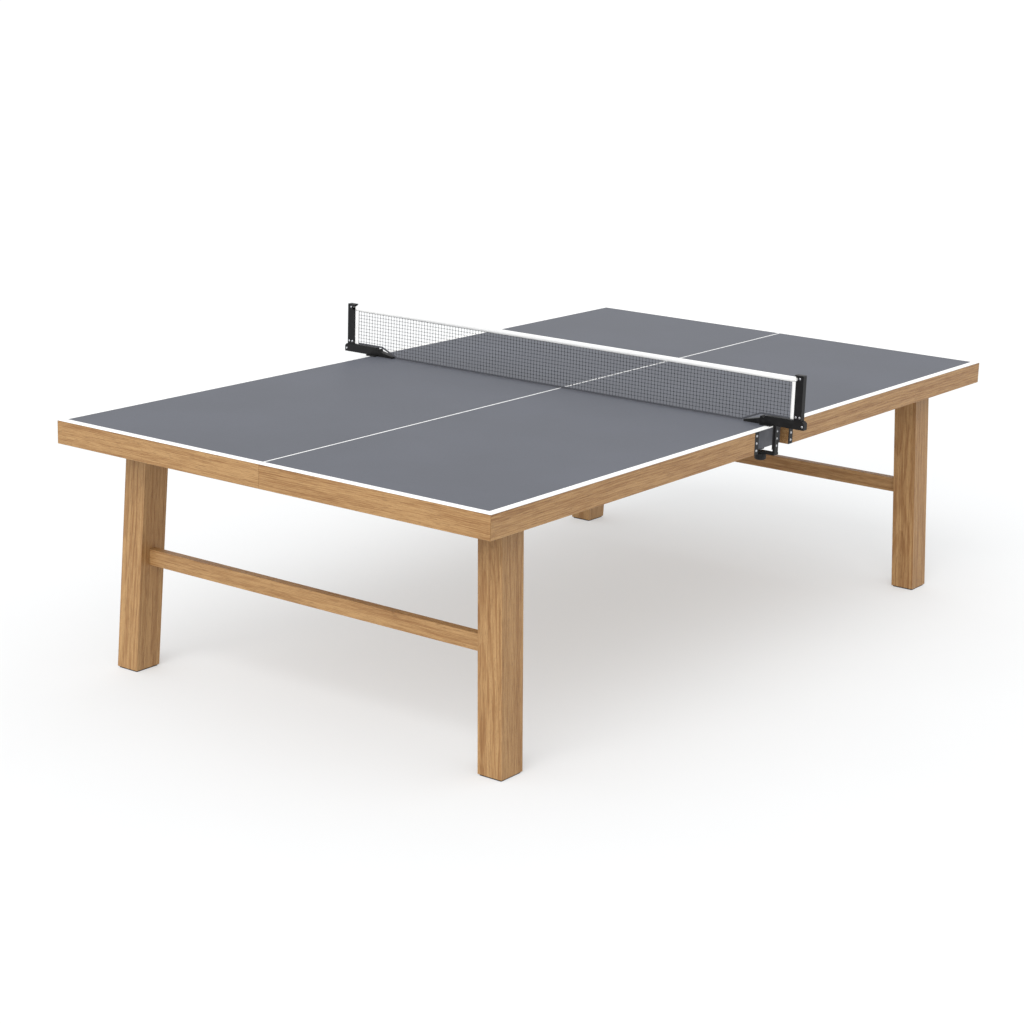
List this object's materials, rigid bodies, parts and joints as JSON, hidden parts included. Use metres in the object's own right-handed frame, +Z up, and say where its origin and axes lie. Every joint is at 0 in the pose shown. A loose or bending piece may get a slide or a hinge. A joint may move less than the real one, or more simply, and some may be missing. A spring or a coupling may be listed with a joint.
{
  "type": "table tennis table",
  "caption": "Full-size table tennis table: grey laminate top with white edge lines, deep oak aprons notched at the net, splayed oak legs with stretchers, and a clamp-on net.",
  "frame": {"origin": "on the floor under the middle of the table", "axes": "+X along the table's length, +Y across it, +Z up"},
  "size_m": [2.74, 1.725, 0.9195],
  "materials": {
    "laminate_grey": "matt",
    "strip_white": "satin",
    "oak": "matt oiled",
    "core_board": "raw board",
    "panel_grey": "painted, satin",
    "steel_black": "satin powder coat",
    "steel_bright": "zinc plated",
    "rubber_black": "matt",
    "plastic_black": "matt moulded",
    "tape_white": "woven",
    "net_dark": "knotted thread",
    "hem_grey": "woven",
    "cord_white": "braided"
  },
  "bodies": {
    "root": {"playing_sheet_left": "laminate_grey", "playing_sheet_right": "laminate_grey", "core_board_left": "core_board", "core_board_right": "core_board", "border_strips_left": "strip_white", "border_strips_right": "strip_white", "centre_line": "strip_white", "end_apron_left_front": "oak", "end_apron_left_back": "oak", "end_apron_right_front": "oak", "end_apron_right_back": "oak", "side_apron_left_front": "oak", "side_apron_left_back": "oak", "side_apron_right_front": "oak", "side_apron_right_back": "oak", "notch_panel_front": "panel_grey", "notch_panel_back": "panel_grey", "notch_plates": "steel_black", "notch_screws": "steel_bright", "bolster_left": "oak", "bolster_right": "oak", "centre_rail_left": "oak", "centre_rail_right": "oak", "long_rails": "oak", "rail_bolts": "steel_bright", "rail_nuts": "steel_bright", "corner_blocks": "oak", "apron_cleats": "oak", "leg_left_front": "oak", "leg_left_back": "oak", "leg_right_front": "oak", "leg_right_back": "oak", "leg_plates": "steel_black", "leg_plate_screws": "steel_bright", "leg_bolts": "steel_bright", "foot_pads": "rubber_black", "stretcher_left": "oak", "stretcher_right": "oak", "net_mesh": "net_dark", "net_top_tape": "tape_white", "net_bottom_hem": "hem_grey", "net_side_tapes": "tape_white", "net_cord": "cord_white", "net_post_front": "steel_black", "net_post_back": "steel_black", "post_caps": "plastic_black", "clamp_body_front": "steel_black", "clamp_body_back": "steel_black", "jaw_pads": "rubber_black", "edge_pads": "rubber_black", "clamp_rivets": "steel_bright"},
    "pad_front": {"pressure_pad_front": "steel_black"},
    "knob_front": {"clamp_screw_front": "steel_bright", "clamp_knob_front": "plastic_black"},
    "pad_back": {"pressure_pad_back": "steel_black"},
    "knob_back": {"clamp_screw_back": "steel_bright", "clamp_knob_back": "plastic_black"}
  },
  "joints": [
    {"name": "front_pad_slide", "type": "slide", "parent": "root", "child": "pad_front", "axis": [0, 0, 1], "range_m": [-0.0058, 0]},
    {"name": "front_knob_turn", "type": "hinge", "parent": "pad_front", "child": "knob_front", "pos_m": [0, -0.7205, 0.664], "axis": [0, 0, 1], "range_deg": [-1044, 0]},
    {"name": "back_pad_slide", "type": "slide", "parent": "root", "child": "pad_back", "axis": [0, 0, 1], "range_m": [-0.0058, 0]},
    {"name": "back_knob_turn", "type": "hinge", "parent": "pad_back", "child": "knob_back", "pos_m": [0, 0.7205, 0.664], "axis": [0, 0, 1], "range_deg": [-1044, 0]}
  ],
  "couplings": [
    {"joint": "front_knob_turn", "follows": "front_pad_slide", "rad_per_m": 3141.6},
    {"joint": "back_knob_turn", "follows": "back_pad_slide", "rad_per_m": 3141.6}
  ]
}
